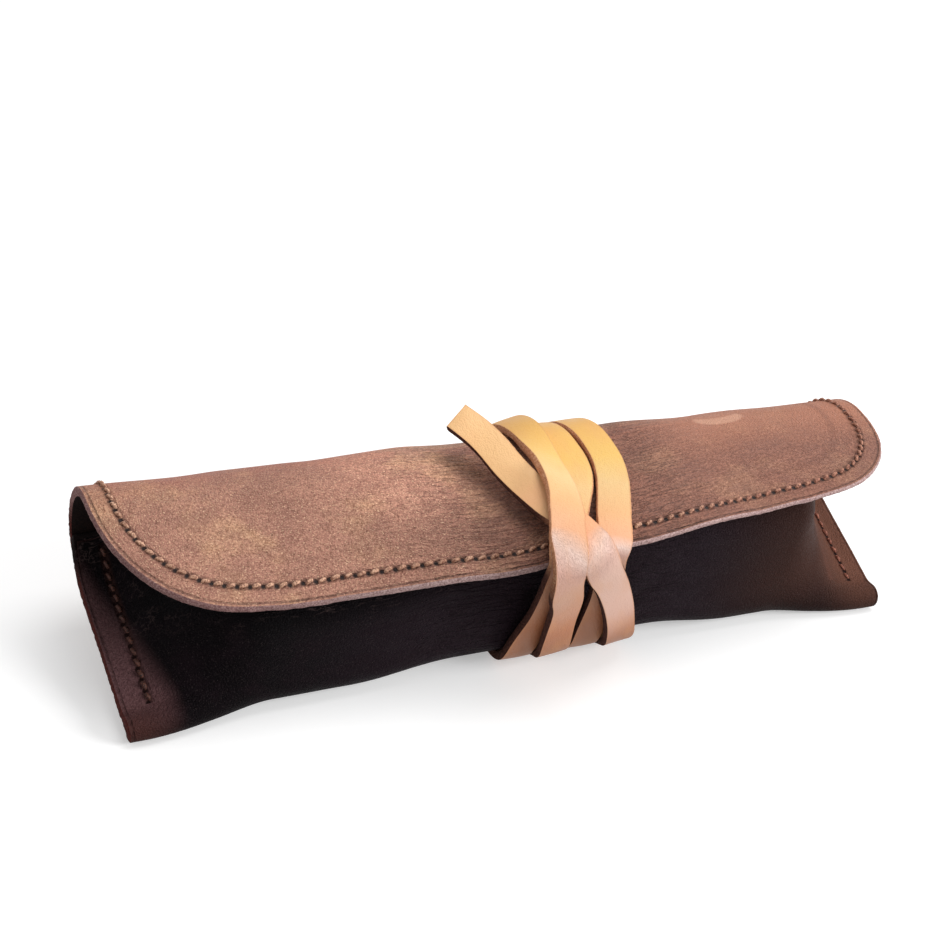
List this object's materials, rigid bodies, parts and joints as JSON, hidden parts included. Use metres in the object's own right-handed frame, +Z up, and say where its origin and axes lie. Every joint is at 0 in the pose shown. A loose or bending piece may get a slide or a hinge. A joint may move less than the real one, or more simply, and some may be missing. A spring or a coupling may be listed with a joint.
{
  "type": "pencil case",
  "caption": "Long soft leather pencil case, folded from a hide, with sewn ends, a rolled-over flap and a leather strap wound round its waist.",
  "frame": {"origin": "middle of the whole case's box, on the surface it lies on", "axes": "+X along the case to the right as seen from the mouth side, +Y from the flap's edge to the rolled back, +Z up"},
  "size_m": [0.2274, 0.0788, 0.0594],
  "materials": {
    "dark_brown_leather": "dark brown oiled hide, faint sheen",
    "brown_leather": "mid brown pull-up hide with speckled grain and a rough cut edge",
    "tan_strap_leather": "natural vegetable tanned, smooth",
    "copper_thread": "waxed thread"
  },
  "bodies": {
    "case": {"pouch": "dark_brown_leather", "left_seam_thread": "copper_thread", "right_seam_thread": "copper_thread", "wrap_strap": "tan_strap_leather", "strap_anchor_thread": "copper_thread"},
    "flap": {"flap": "brown_leather", "flap_border_thread": "copper_thread"}
  },
  "joints": [
    {"name": "flap_hinge", "type": "hinge", "parent": "case", "child": "flap", "pos_m": [0, 0.0349, 0.02406], "axis": [-1, 0, 0], "range_deg": [0, 165], "deforming": ["wrap_strap", "strap_anchor_thread"]}
  ]
}
